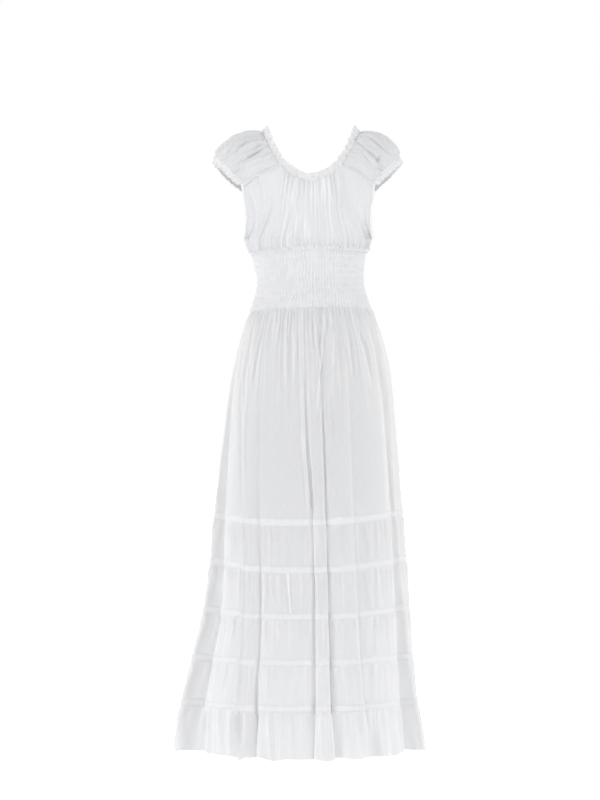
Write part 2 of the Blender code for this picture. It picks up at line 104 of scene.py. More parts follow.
def curveThrough(knots, values, at):
    # smooth curve through values at the knots, for one place or an array of them
    knots, values, at = (np.asarray(x, float) for x in (knots, values, at))
    last = len(knots) - 1
    order = np.arange(last + 1)
    before, after = np.maximum(order - 1, 0), np.minimum(order + 1, last)
    wide = (slice(None),) + (None,) * (values.ndim - 1)
    slopes = (values[after] - values[before]) / (knots[after] - knots[before])[wide]
    i = np.clip(np.searchsorted(knots, at, side="right") - 1, 0, last - 1)
    span = knots[i + 1] - knots[i]
    t = (at - knots[i]) / span
    grown = (Ellipsis,) + (None,) * (values.ndim - 1)
    t, span = t[grown], span[grown]
    return (
        values[i] * (2 * t**3 - 3 * t**2 + 1)
        + slopes[i] * ((t**3 - 2 * t**2 + t) * span)
        + values[i + 1] * (3 * t**2 - 2 * t**3)
        + slopes[i + 1] * ((t**3 - t**2) * span)
    )


def outlinePoints(degrees, height, offset=0.0):
    # points of the plain outline, moved out by offset
    degrees, height, offset = np.broadcast_arrays(
        *(np.asarray(x, float) for x in (degrees, height, offset))
    )
    table = np.array(outlineSections)
    sizes = curveThrough(-table[:, 0], table[:, 1:], -height)
    left, right, back, front, drop = np.moveaxis(sizes, -1, 0)
    across, away = np.cos(np.radians(degrees)), np.sin(np.radians(degrees))
    wide, deep = np.where(across > 0, left, right), np.where(away > 0, back, front)
    length = np.hypot(across / wide, away / deep)
    x = wide * across + offset * across / wide / length
    y = deep * away + offset * away / deep / length
    down = (height - dress["waistTop"]) / (dress["hem"] - dress["waistTop"])
    z = height - drop * np.maximum(0.0, away) ** 2 - dress["tilt"] * x * (1.0 - down**2)
    return np.stack([x, y, z], axis=-1)


def throughThree(share, middleShare, start, middle, end):
    m = middleShare
    return (
        start * (share - m) * (share - 1) / m
        + middle * share * (share - 1) / (m * (m - 1))
        + end * share * (share - m) / (1 - m)
    )


def foldKnots(height):
    # the folded ring at one height: place of each knot round the ring, and its point
    span = dress["hem"] - dress["waistLow"]
    share = (height - dress["waistLow"]) / span
    tapeShare = (dress["tierSeams"][0] - dress["waistLow"]) / span
    gains, starts = [], []
    for waist, tape, hem, level, crown, notch, tuck, early in skirtFolds:
        gains.append(max(0.0, share) ** (math.log(early) / math.log(tapeShare)))
        starts.append(throughThree(share, tapeShare, waist, tape, hem))
    places, angles, offsets = [], [], []
    count = len(skirtFolds)
    for k, (waist, tape, hem, level, crown, notch, tuck, early) in enumerate(skirtFolds):
        width = (starts[(k + 1) % count] - starts[k]) % 360.0
        low = min(level * gains[k], skirtFolds[k - 1][3] * gains[k - 1])
        places.append(k)
        angles.append(starts[k] + tuck * gains[k])
        offsets.append(low - softValley * notch * gains[k])
        for place in panelShares:
            places.append(k + place)
            angles.append(starts[k] + place * width)
            offsets.append((level + crown * math.sin(math.pi * place)) * gains[k])
    return np.array(places), outlinePoints(angles, height, offsets)


def foldRing(height, places):
    # points of the ring at one height, at places counted in folds
    knots, points = foldKnots(height)
    count = len(skirtFolds)
    knots = np.concatenate([knots[-3:] - count, knots, knots[:4] + count])
    points = np.concatenate([points[-3:], points, points[:4]])
    return curveThrough(knots, points, np.asarray(places) % count)


def evenPlaces(height, count):
    # places round the ring at even steps of cloth
    fine = np.linspace(0, len(skirtFolds), 6001)
    ring = foldRing(height, fine)
    length = np.concatenate([[0], np.cumsum(np.linalg.norm(np.diff(ring, axis=0), axis=1))])
    return np.interp(np.arange(count) / count * length[-1], length, fine)


def clothShares(row):
    # share of the way round, by length, of each point of a closed row
    steps = np.linalg.norm(np.roll(row, -1, axis=0) - row, axis=1)
    return np.concatenate([[0], np.cumsum(steps)[:-1]]) / steps.sum()


def outwards(points, closed):
    # unit normals of rows that run from the top down and round from +X towards the back
    if closed:
        along = np.roll(points, -1, axis=1) - np.roll(points, 1, axis=1)
    else:
        along = np.gradient(points, axis=1)
    return unit(np.cross(along, -np.gradient(points, axis=0)))


def turnedTo(vectors, away):
    # the vectors, each turned round where it points against away
    return vectors * np.where((vectors * away).sum(axis=1, keepdims=True) < 0, -1.0, 1.0)


def facingOut(points, out, closed):
    # the rows of points, in the order whose normals point the way of out
    return points[:, ::-1] if (outwards(points, closed) * out[None]).sum() < 0 else points


def smoothNoise(chance, cells, shares):
    # periodic noise round the ring with a number of cells
    values = chance.uniform(-1, 1, cells)
    place = shares * cells
    i = np.floor(place).astype(int)
    t = smoothStep(place - i)
    return values[i % cells] * (1 - t) + values[(i + 1) % cells] * t


# Layers of gathers, here and for each piece: seed, number of ridges, depth, shortest and longest length,
# the distance from the seam over which they start, and how much they spread
def gatherRelief(shares, drops, layer, closed=True, seedStep=0):
    # ridges that start at the seam and fade down, each with its own length, depth and width
    seed, count, deep, shortest, longest, onset, spread = layer
    chance = np.random.default_rng(seed + seedStep)
    middles = (np.arange(count) + chance.uniform(-0.35, 0.35, count)) / count
    depths = deep * chance.uniform(0.4, 1.5, count)
    lengths = chance.uniform(shortest, longest, count)
    widths = chance.uniform(0.12, 0.30, count) / count
    leans = chance.uniform(-0.6, 0.6, count) / count
    relief = np.zeros((len(drops), len(shares)))
    starting = smoothStep(drops / onset)[:, None]
    for middle, depth, length, width, lean in zip(middles, depths, lengths, widths, leans):
        gone = (drops / length)[:, None]
        away = shares[None, :] - middle - lean * gone
        if closed:
            away = (away + 0.5) % 1.0 - 0.5
        wide = width * (1 + spread * gone)
        relief += depth * np.exp(-(gone**2)) * np.exp(-((away / wide) ** 2))
    return starting * (relief - relief.mean(axis=1, keepdims=True))


# a crease ends within this distance of the dress's side, and has a low ridge beside it: its share of the
# depth, its distance and width in widths of the crease, and the power of the taper at both ends
creaseShape = {"side": 0.02, "ridge": 0.55, "ridgeAway": 1.7, "ridgeWide": 1.1, "taper": 0.6}


def creaseRelief(points, creases, side):
    # soft troughs along lines given as x and z pairs on the back (side 1) or the front (side -1)
    relief = np.zeros(points.shape[:2])
    x, z = points[..., 0], points[..., 2]
    onSide = smoothStep(side * points[..., 1] / creaseShape["side"])
    for depth, width, line in creases:
        best, place = np.full(x.shape, 1e9), np.zeros(x.shape)
        for k, ((ax, az), (bx, bz)) in enumerate(zip(line, line[1:])):
            dx, dz = bx - ax, bz - az
            share = np.clip(((x - ax) * dx + (z - az) * dz) / (dx * dx + dz * dz), 0, 1)
            gapX, gapZ = x - ax - share * dx, z - az - share * dz
            far = np.hypot(gapX, gapZ) * np.where(gapX * dz - gapZ * dx < 0, -1, 1)
            nearer = np.abs(far) < np.abs(best)
            best = np.where(nearer, far, best)
            place = np.where(nearer, (k + share) / (len(line) - 1), place)
        taper = np.sin(np.pi * np.clip(place, 0.02, 0.98)) ** creaseShape["taper"]
        beside = (best - creaseShape["ridgeAway"] * width) / (creaseShape["ridgeWide"] * width)
        ridge = creaseShape["ridge"] * np.exp(-(beside**2))
        relief += onSide * taper * depth * (ridge - np.exp(-((best / width) ** 2)))
    return relief


def clothPiece(name, points, size, closed=False, thickness=None, outside=False):
    # a sheet of cloth from rows of points, top row first, with its flat size as its UV map
    rows, columns = points.shape[:2]
    if closed:
        points = np.concatenate([points, points[:, :1]], axis=1)
        columns += 1
    bpy.ops.object.select_all(action="DESELECT")
    bpy.ops.mesh.primitive_grid_add(x_subdivisions=columns - 1, y_subdivisions=rows - 1, size=1)
    piece = bpy.context.object
    piece.name = piece.data.name = name
    piece.data.vertices.foreach_set("co", points[::-1].astype(np.float32).ravel())
    flat = np.zeros(len(piece.data.loops) * 2, np.float32)
    layer = piece.data.uv_layers.active.data
    layer.foreach_get("uv", flat)
    layer.foreach_set("uv", (flat.reshape(-1, 2) * np.array(size, np.float32)).ravel())
    piece.data.update()
    if closed:
        bpy.ops.object.mode_set(mode="EDIT")
        bpy.ops.mesh.select_all(action="SELECT")
        bpy.ops.mesh.remove_doubles(threshold=1e-6)
        bpy.ops.object.mode_set(mode="OBJECT")
    wall = piece.modifiers.new("wall", "SOLIDIFY")
    wall.thickness = thickness or dress["clothThickness"]
    wall.offset = 1.0 if outside else -1.0
    bpy.ops.object.modifier_apply(modifier="wall")
    bpy.ops.object.shade_smooth_by_angle(angle=1.2)  # crisp rims
    return piece


def feed(tree, socket, value):
    # sets a shader input, or links it where the value is the output of another node
    if isinstance(value, bpy.types.NodeSocket):
        tree.links.new(value, socket)
    else:
        socket.default_value = value


def addNode(tree, kind, inputs):
    node = tree.nodes.new(f"ShaderNode{kind}")
    for name, value in inputs.items():
        feed(tree, node.inputs[name], value)
    return node


def mathNode(tree, operation, *values):
    node = tree.nodes.new("ShaderNodeMath")
    node.operation = operation
    for socket, value in zip(node.inputs, values):
        feed(tree, socket, value)
    return node.outputs["Value"]


def rangeNode(tree, value, *ends):
    names = ("From Min", "From Max", "To Min", "To Max")
    return addNode(tree, "MapRange", dict(zip(names, ends), Value=value)).outputs["Result"]


def stretchedNoise(tree, uv, across, along, detail):
    # noise of so many lines a metre across, drawn out along the cloth by the share along
    stretch = addNode(tree, "Mapping", {"Scale": (across, across * along, 1.0), "Vector": uv})
    inputs = {"Scale": 1.0, "Detail": detail, "Vector": stretch.outputs["Vector"]}
    return addNode(tree, "TexNoise", inputs).outputs["Fac"]


doubledClothHighlight = (0.985, 0.988, 1.0, 1)  # painted highlight: the colour of bright lines where thin cloth lies double and along the lit ridges of gathers


def addPleatHighlights(tree, uv, plain, pleats):
    # painted highlights: thin bright upright lines along the ridges of gathers, where thin cloth also lies
    # double, most at the top of the piece
    split = addNode(tree, "SeparateXYZ", {"Vector": uv})
    across, up = split.outputs["X"], split.outputs["Y"]

    def awayFrom(middle):
        return mathNode(tree, "ABSOLUTE", mathNode(tree, "SUBTRACT", across, middle))

    noise = stretchedNoise(tree, uv, pleats["across"], 0.05, 1.0)
    thin = rangeNode(tree, noise, *pleats.get("lit", (0.56, 0.68)))
    fade = rangeNode(tree, up, pleats["end"], pleats["start"], 0.0, pleats["most"])
    factor = mathNode(tree, "MULTIPLY", thin, fade)
    if "middle" in pleats:
        middle, full, none = pleats["middle"]
        factor = mathNode(tree, "MULTIPLY", factor, rangeNode(tree, awayFrom(middle), none, full))
    for topX, topY, lowX, lowY, width in pleats.get("lines", ()):
        away = awayFrom(rangeNode(tree, up, lowY, topY, lowX, topX))
        line = rangeNode(tree, away, width, 0.2 * width)
        shown = rangeNode(tree, up, lowY - 0.02, lowY + 0.05)
        factor = mathNode(tree, "MAXIMUM", factor, mathNode(tree, "MULTIPLY", line, shown))
    mix = tree.nodes.new("ShaderNodeMix")
    mix.data_type = "RGBA"
    for name, value in (("Factor", factor), ("A", plain), ("B", doubledClothHighlight)):
        feed(tree, mix.inputs[name], value)
    return mix.outputs["Result"]


def clothMaterial(name, look):
    # woven cloth on the piece's own UV map, in metres
    material = bpy.data.materials.new(name)
    material.use_nodes = True
    tree = material.node_tree
    shader = tree.nodes["Principled BSDF"].inputs
    for socket, value in {
        "Roughness": look["roughness"], "Sheen Weight": look["sheen"], "Sheen Roughness": 0.5,
        "Specular IOR Level": 0.2, "Subsurface Weight": look["translucent"],
        "Subsurface Radius": (1.0, 1.0, 1.0), "Subsurface Scale": 0.003,
    }.items():
        shader[socket].default_value = value
    uv = tree.nodes.new("ShaderNodeUVMap").outputs["UV"]
    weaves = []
    for direction in ("X", "Y"):
        inputs = {"Scale": 0.314 / look["thread"], "Distortion": 0.6, "Detail": 1.0, "Vector": uv}
        weave = addNode(tree, "TexWave", inputs)
        weave.bands_direction = direction
        weaves.append(weave.outputs["Fac"])
    crossing = mathNode(tree, "MAXIMUM", *weaves)
    slub = stretchedNoise(tree, uv, look["slub"], 0.06, 3.0)
    weaveBump = addNode(tree, "Bump", {"Strength": 0.35, "Distance": 0.00012, "Height": crossing})
    inputs = {"Strength": 0.5, "Distance": look["slubDepth"], "Height": slub}
    slubBump = addNode(tree, "Bump", dict(inputs, Normal=weaveBump.outputs["Normal"]))
    tree.links.new(slubBump.outputs["Normal"], shader["Normal"])
    tint = addNode(tree, "ValToRGB", {"Fac": slub})
    stops = tint.color_ramp.elements
    for stop, position, colour in zip(stops, (0.3, 0.7), (look["shade"], look["colour"])):
        stop.position = position
        stop.color = (*colour, 1)
    colour = tint.outputs["Color"]
    if "pleats" in look:
        colour = addPleatHighlights(tree, uv, colour, look["pleats"])
    tree.links.new(colour, shader["Base Color"])
    return material


# Skirt: points round each ring, the step down it, and how far each tier goes on behind the tapes
skirt = {"around": 480, "rowStep": 0.007, "tucked": 0.0042}
half = dress["tapeWidth"] / 2
seams = dress["tierSeams"]
# width and length of the flat sheets
yokeCut, flounceCut = (1.45, 0.475), (2.40, 0.108)
tierCuts = ((1.65, 0.090), (1.80, 0.098), (1.98, 0.096), (2.15, 0.090))
# the main pleats on the back of the yoke, painted as highlight lines along their ridges: x and z of the top
# and of the low end, half width
yokePleats = (
    (0.101, -0.400, 0.136, -0.545, 0.0030),
    (0.041, -0.405, 0.039, -0.575, 0.0028),
    (-0.005, -0.390, -0.016, -0.506, 0.0045),
    (-0.032, -0.390, -0.014, -0.598, 0.0045),
    (-0.051, -0.430, -0.046, -0.570, 0.0020),
    (-0.080, -0.400, -0.096, -0.520, 0.0020),
    (0.072, -0.395, 0.078, -0.470, 0.0020),
    (0.020, -0.660, 0.007, -0.850, 0.0034),
)
sideFolds = (1, 7)  # the valleys beside the two side folds


def sideFoldLight(top, low, wide):
    # painted light: the two side folds as bright bands on the flat sheet, lifting the shade of the recessed
    # side panels
    places = evenPlaces((top + low) / 2, skirt["around"])
    across = np.arange(skirt["around"]) / skirt["around"] * wide
    lines = []
    for fold in sideFolds:
        ends = np.interp((fold - 0.08, fold + 0.08), places, across)
        middle = float(ends.mean())
        lines.append((middle, 1.0, middle, -1.0, float(ends[1] - ends[0]) * 0.6 + 0.012))
    return lines


def pleatHighlightLines():
    # the main pleats as painted highlight lines on the flat sheet of the yoke
    top, low, (wide, tall) = dress["waistLow"], seams[0] + half, yokeCut
    places = evenPlaces((top + low) / 2, skirt["around"])
    lines = sideFoldLight(top, low, wide)
    for topX, topZ, lowX, lowZ, width in yokePleats:
        ends = []
        for x, z in ((topX, topZ), (lowX, lowZ)):
            ring = foldRing(z, places)
            away = np.where(ring[:, 1] > 0.03, np.abs(ring[:, 0] - x), 1.0)
            ends += [float(np.argmin(away)) / len(places) * wide, (z - low) / (top - low) * tall]
        lines.append((*ends, width * 1.3))
    return lines


# Cloths: the brighter and darker yarn, the spacing of the threads, and the uneven yarn, in lines a metre.
# Painted pleat highlights have their lines a metre too, and the heights on the flat piece where they end and
# are strongest.
voileLook = {
    "colour": (0.875, 0.884, 0.910), "shade": (0.825, 0.834, 0.860), "roughness": 0.9, "sheen": 0.12,
    "translucent": 0.85, "thread": 0.0007, "slub": 700.0, "slubDepth": 0.0002,
}
# the bodice's pleat lines are painted highlights on its gathers, about the middle of each panel
bodiceLook = dict(
    voileLook, colour=(0.725, 0.733, 0.755), shade=(0.692, 0.700, 0.722), translucent=0.5,
    pleats={
        "across": 170.0, "end": -0.16, "start": 0.16, "most": 0.55, "lit": (0.48, 0.70),
        "middle": (0.23, 0.07, 0.11),
    },
)
sleeveLook = dict(voileLook, colour=(0.690, 0.694, 0.712), shade=(0.652, 0.656, 0.674), translucent=0.4)
# the smocking's voile is darker than the plain voile: painted shade of its puckers
shirredShadeLook = dict(voileLook, colour=(0.812, 0.815, 0.828), shade=(0.762, 0.765, 0.778), translucent=0.3)
seamLook = dict(voileLook, colour=(0.850, 0.855, 0.870), shade=(0.820, 0.825, 0.840), translucent=0.6)
trimLook = dict(voileLook, colour=(0.755, 0.760, 0.778), shade=(0.715, 0.72, 0.738), translucent=0.5)
tapeLook = dict(
    voileLook, colour=(0.825, 0.830, 0.845), shade=(0.770, 0.775, 0.790), translucent=0.4,
    thread=0.0009, slub=420.0,
)
# painted highlights: bright gather lines near the top of each tier
tierPleatHighlights = {"across": 70.0, "end": -0.06, "start": 0.09, "most": 0.7}
# the yoke's pleat lines are painted highlights, strongest at its top where they lift the shade of the
# gathers
yokeLook = dict(voileLook, pleats={
    "across": 85.0, "end": 0.16, "start": 0.42, "most": 0.95, "lines": pleatHighlightLines(),
})


# each tier carries painted highlights on its gathers near its top and painted light on the two side folds
def tierVoile(name, top, low, wide):
    look = dict(voileLook, pleats=dict(tierPleatHighlights, lines=sideFoldLight(top, low, wide)))
    return clothMaterial(f"{name}Voile", look)


yokeVoile = clothMaterial("yokeVoile", yokeLook)
bodiceVoile = clothMaterial("bodiceVoile", bodiceLook)
sleeveVoile = clothMaterial("sleeveVoile", sleeveLook)
shirred = clothMaterial("shirredVoile", shirredShadeLook)
dense = clothMaterial("gatheredVoile", trimLook)
seamCloth = clothMaterial("doubledVoile", seamLook)
tapeCloth = clothMaterial("cottonTape", tapeLook)
elasticLook = dict(tapeLook, colour=(0.83, 0.835, 0.845), shade=(0.79, 0.795, 0.805))
elastic = clothMaterial("elasticThread", elasticLook)


def dressPiece(piece, material, nodes):
    piece.data.materials.append(material)
    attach(piece, "root")
    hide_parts(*nodes)
    print("made", piece.name)


def sewnPiece(piece, material):
    # sewing that belongs to another piece's sheet
    piece.data.materials.append(material)
    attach(piece, "root")
    print("made", piece.name)
    return piece


# Gathers of the yoke, the tiers and the flounce, a coarse and a fine layer of each
yokeLayers = ((11, 84, 0.0030, 0.05, 0.22, 0.010, 0.8), (12, 160, 0.0016, 0.02, 0.10, 0.004, 0.5))
tierLayers = ((21, 76, 0.0022, 0.04, 0.14, 0.008, 0.6), (22, 180, 0.0013, 0.012, 0.06, 0.003, 0.4))
flounceLayers = ((31, 70, 0.0056, 0.06, 0.26, 0.010, 0.5), (32, 190, 0.0014, 0.015, 0.07, 0.003, 0.4))
hemWaves = {"seed": 33, "count": 34, "depth": 0.008, "dips": 54, "dip": 0.0040}
# creases on the back of the yoke: depth (a ridge where it is negative), width, line of x and z
backCreases = (
    (0.0055, 0.0040, ((0.138, -0.396), (0.156, -0.472), (0.163, -0.540), (0.156, -0.874))),
    (0.0040, 0.0035, ((0.127, -0.414), (0.140, -0.472), (0.150, -0.540), (0.156, -0.690))),
    (-0.0040, 0.0030, ((0.101, -0.396), (0.127, -0.494), (0.136, -0.560))),
    (-0.0036, 0.0030, ((0.041, -0.400), (0.037, -0.483), (0.039, -0.590))),
    (-0.0042, 0.0040, ((0.026, -0.430), (0.018, -0.690), (0.007, -0.828), (-0.004, -0.874))),
    (0.0022, 0.0040, ((0.016, -0.540), (0.010, -0.690), (0.000, -0.790), (-0.008, -0.874))),
    (-0.0042, 0.0030, ((-0.003, -0.391), (-0.015, -0.506), (-0.018, -0.560))),
    (-0.0042, 0.0030, ((-0.034, -0.391), (-0.021, -0.506), (-0.009, -0.660))),
    (0.0026, 0.0035, ((-0.018, -0.460), (-0.022, -0.600), (-0.030, -0.690), (-0.035, -0.874))),
    (-0.0030, 0.0028, ((-0.051, -0.440), (-0.046, -0.570))),
    (-0.0028, 0.0028, ((-0.041, -0.590), (-0.048, -0.700))),
    (-0.0030, 0.0028, ((0.070, -0.396), (0.076, -0.470))),
    (0.0040, 0.0035, ((-0.078, -0.395), (-0.092, -0.483), (-0.097, -0.552))),
    (-0.0032, 0.0028, ((-0.064, -0.396), (-0.078, -0.480))),
    (0.0042, 0.0035, ((-0.106, -0.437), (-0.126, -0.483), (-0.140, -0.560))),
    (0.0060, 0.0040, (
        (-0.117, -0.395), (-0.147, -0.472), (-0.168, -0.598), (-0.180, -0.782), (-0.187, -0.874),
    )),
)


# Joins in the tiers, where the seam allowance shows as a bright line that widens at its top: the number of
# the tier, and x at the top and at the low end
tierJoins = ((2, 0.053, 0.046), (3, -0.179, -0.180))
joinShape = {
    "rows": 14, "half": 0.0022, "flare": 0.0034, "flareShare": 0.35, "edge": 0.0014, "proud": 0.0026,
}


def skirtPoint(x, height):
    # the point of the back of the skirt that is at x
    ring = foldRing(height, np.linspace(0, len(skirtFolds), 3001))
    ring = ring[ring[:, 1] > 0.05]
    return ring[np.argmin(np.abs(ring[:, 0] - x))]


for number, topX, lowX in tierJoins:
    upper, lower = seams[number - 1] - half, seams[number] + half
    rows = []
    for share in np.linspace(0, 1, joinShape["rows"]):
        middle = skirtPoint(topX + (lowX - topX) * share, upper + (lower - upper) * share)
        flare = max(0.0, 1 - share / joinShape["flareShare"]) ** 1.5
        wide = joinShape["half"] + joinShape["flare"] * flare
        edge, proud = joinShape["edge"], joinShape["proud"]
        rows.append(middle + np.array(((-wide, edge, 0), (0, proud, 0), (wide, edge, 0))))
    piece = clothPiece(f"tierJoin{number}", np.stack(rows), (0.010, upper - lower), thickness=0.0005)
    sewnPiece(piece, tapeCloth)


def hemRelief(drops, shares, points):
    # the hem flounce swings out in waves of uneven size, and its edge rises and dips
    chance = np.random.default_rng(hemWaves["seed"])
    phase = 2 * np.pi * hemWaves["count"] * shares
    phase = phase + 1.5 * np.sin(2 * np.pi * 3 * shares + chance.uniform(0, 6))
    phase = phase + 1.1 * np.sin(2 * np.pi * 7 * shares + chance.uniform(0, 6))
    size = hemWaves["depth"] * (0.55 + 0.45 * np.sin(2 * np.pi * 5 * shares + 1.0))
    grow = smoothStep(drops / drops[-1])[:, None] ** 1.5
    points[..., 2] += grow * hemWaves["dip"] * smoothNoise(chance, hemWaves["dips"], shares)[None, :]
    return grow * (size * np.sin(phase))[None, :]


def ringPiece(name, node, top, low, layers, material, flat):
    # one ring of cloth stands for the back and the front solid
    upper = top + (0 if node == "skirt_yoke" else skirt["tucked"])
    lower = low - (0 if node == "flounce" else skirt["tucked"])
    first, last = top - 0.0005, low + 0.0005
    steps = max(3, round((first - last) / skirt["rowStep"]) + 1)
    heights = np.concatenate([[upper], np.linspace(first, last, steps), [lower]])
    places = evenPlaces((top + low) / 2, skirt["around"])
    points = np.stack([foldRing(height, places) for height in heights])
    shares = clothShares(points[0])
    drops = np.maximum(top - heights, 0.0)
    relief = sum(gatherRelief(shares, drops, layer) for layer in layers)
    if node == "flounce":
        relief = relief + hemRelief(drops, shares, points)
    else:
        relief = relief * smoothStep((heights - low)[:, None] / 0.008)  # held by the next tape
        relief = relief + creaseRelief(points, backCreases, 1)
    points = points + outwards(points, True) * relief[..., None]
    piece = clothPiece(name, points, flat, closed=True)
    dressPiece(piece, material, (f"{node}_back", f"{node}_front"))


top, low = dress["waistLow"] - 0.0003, seams[0] + half
ringPiece("skirtYoke", "skirt_yoke", top, low, yokeLayers, yokeVoile, yokeCut)
for number, flat in enumerate(tierCuts, 1):
    name, top, low = f"tier{number}", seams[number - 1] - half, seams[number] + half
    ringPiece(name, f"tier_{number}", top, low, tierLayers, tierVoile(name, top, low, flat[0]), flat)
top, low = seams[4] - half, dress["hem"]
cloth = tierVoile("flounce", top, low, flounceCut[0])
ringPiece("hemFlounce", "flounce", top, low, flounceLayers, cloth, flounceCut)

# Tapes between the tiers, a little proud of them and drawn in by the gathers
tape = {
    "around": 640, "rows": 8, "proud": 0.0008, "puckers": 230, "pucker": 0.0006, "wave": 0.0026,
    "lengths": (1.39, 1.52, 1.67, 1.85, 2.03),
}
for number, seam in enumerate(seams, 1):
    places = evenPlaces(seam, tape["around"])
    heights = np.linspace(seam + half, seam - half, tape["rows"])
    points = np.stack([foldRing(height, places) for height in heights])
    shares = clothShares(points[0])
    chance = np.random.default_rng(40 + number)
    across = np.linspace(-1, 1, tape["rows"])[:, None]
    upper, lower = (smoothNoise(chance, tape["puckers"], shares) for edge in range(2))
    ripple = np.where(across < 0, upper, lower) * np.abs(across) ** 1.5
    relief = tape["proud"] * (1 - 0.7 * across**4) + tape["pucker"] * ripple
    points = points + outwards(points, True) * relief[..., None]
    wave = 0.6 * smoothNoise(chance, 90, shares) + 0.4 * smoothNoise(chance, 210, shares)
    points[..., 2] += tape["wave"] * wave * (0.35 - 0.65 * across)
    flat = (tape["lengths"][number - 1], dress["tapeWidth"])
    piece = clothPiece(f"seamTape{number}", points, flat, closed=True, thickness=0.0007)
    dressPiece(piece, tapeCloth, [f"seam_tape_{number}"])


# Smocked waist: puffed channels between rows of elastic, with small upright puckers
smocking = {
    "around": 720, "lines": 10, "perChannel": 6, "rise": 0.0008, "pucker": 0.0042, "puckers": 110,
    "lift": 0.0008, "thread": 0.00075, "threadSteps": 240, "threadOut": 0.0018, "stitch": 0.00022,
    "flat": (1.0, 0.130),
}


def threadRing(height, lifts, line):
    # a row of elastic thread, a thin ring in its groove
    steps, thin = smocking["threadSteps"], smocking["thread"]
    turn = np.arange(steps) / steps
    ring = outlinePoints(360.0 * turn, height, smocking["threadOut"])
    ring[:, 2] += lifts(turn)
    bpy.ops.mesh.primitive_torus_add(
        major_segments=steps, minor_segments=5, major_radius=1.0, minor_radius=0.1
    )
    thread = bpy.context.object
    verts = np.zeros(len(thread.data.vertices) * 3, np.float32)
    thread.data.vertices.foreach_get("co", verts)
    verts = verts.reshape(steps, 5, 3)
    out = unit(verts[..., :2])
    aside = (np.linalg.norm(verts[..., :2], axis=2) - 1.0) * 10 * thin
    angle = np.degrees(np.arctan2(out[:, 0, 1], out[:, 0, 0])) % 360.0
    middle = np.stack([np.interp(angle, 360.0 * turn, ring[:, k], period=360.0) for k in range(3)], 1)
    stitch = smocking["stitch"] * np.sin(np.radians(angle) * 160 + line)
    moved = out * (aside + stitch[:, None])[..., None]
    tube = middle[:, None] + np.concatenate([moved, verts[..., 2:] * 10 * thin], axis=2)
    thread.data.vertices.foreach_set("co", tube.astype(np.float32).ravel())
    return thread


def makeSmocking():
    count, lines, per = smocking["around"], smocking["lines"], smocking["perChannel"]
    shares = np.arange(count) / count
    chance = np.random.default_rng(51)
    steps = (lines - 1) * per
    heights = np.linspace(dress["waistTop"] + 0.001, dress["waistLow"] - 0.002, steps + 1)
    turn = np.pi * smocking["puckers"] * shares
    phases = [turn + 1.4 * smoothNoise(chance, 34, shares) for _ in range(lines)]
    sizes = [0.8 + 0.35 * smoothNoise(chance, 90, shares) for _ in range(lines)]
    bulge = [smoothNoise(chance, 40, shares) for _ in range(lines)]
    relief = np.zeros((steps + 1, count))
    for row in range(steps + 1):
        channel = min(row // per, lines - 2)
        inner = row / per - channel
        puff = math.sin(math.pi * inner) ** 0.75 if inner < 1 else 0.0
        phase = phases[channel] * (1 - inner) + phases[channel + 1] * inner
        fine = np.abs(np.sin(phase)) ** 0.6  # sharp creases between rounded puckers
        relief[row] = smocking["rise"] * puff * (0.85 + 0.3 * bulge[channel])
        relief[row] += smocking["pucker"] * sizes[channel] * (fine - 0.7) * (0.15 + 0.85 * puff)
    points = outlinePoints(360.0 * shares[None, :], heights[:, None], relief)
    lift = smocking["lift"] * smoothNoise(chance, 30, shares)
    points[..., 2] += lift[None, :]
    threads = [
        threadRing(heights[line * per], lambda turn: np.interp(turn, shares, lift, period=1.0), line)
        for line in range(lines)
    ]
    bpy.ops.object.select_all(action="DESELECT")
    for thread in threads:
        thread.select_set(True)
    bpy.context.view_layer.objects.active = threads[0]
    bpy.ops.object.join()
    stitches = bpy.context.object
    stitches.name = stitches.data.name = "elasticThreads"
    stitches.data.update()
    bpy.ops.object.shade_smooth()
    sewnPiece(stitches, elastic)
    flat = smocking["flat"]
    piece = clothPiece("waistSmocking", points, flat, closed=True)
    dressPiece(piece, shirred, ["waist_smocking"])


makeSmocking()

# Bodice, sleeves and their trims, from the same seams as the solids
neckSeam = (
    (0.000, 0.098, -0.099), (0.046, 0.096, -0.082), (0.071, 0.088, -0.058), (0.093, 0.064, -0.022),
    (0.106, 0.034, 0.006), (0.113, 0.000, 0.018), (0.108, -0.040, 0.002), (0.096, -0.074, -0.036),
    (0.080, -0.098, -0.074), (0.046, -0.118, -0.113), (0.000, -0.126, -0.130),
)
neckRaglan = {"back": 2, "front": 8}
armSeam = (
    (0.152, 0.078, -0.104), (0.149, 0.085, -0.136), (0.143, 0.082, -0.168), (0.138, 0.067, -0.197),
    (0.137, 0.038, -0.221), (0.139, 0.000, -0.230), (0.138, -0.042, -0.221), (0.139, -0.076, -0.196),
    (0.143, -0.093, -0.166), (0.147, -0.098, -0.138), (0.149, -0.093, -0.112), (0.179, -0.070, -0.076),
    (0.202, -0.038, -0.048), (0.212, 0.000, -0.036), (0.204, 0.036, -0.045), (0.182, 0.062, -0.067),
)
armJunction = {"back": 0, "front": 10}
underarm = 5
raglanMiddle = {"back": (0.113, 0.091, -0.077), "front": (0.118, -0.103, -0.092)}
armFit = {"from": 0.150, "panel": {1: 1.02, -1: 0.93}, "cap": {1: 1.07, -1: 1.03}}
neckAxis = np.array((0.0, 0.010, 0.160))
armBelow, armAbove = np.array((0.200, 0.0, -0.110)), np.array((0.270, 0.0, -0.155))
armBlend = (-0.135, -0.075)


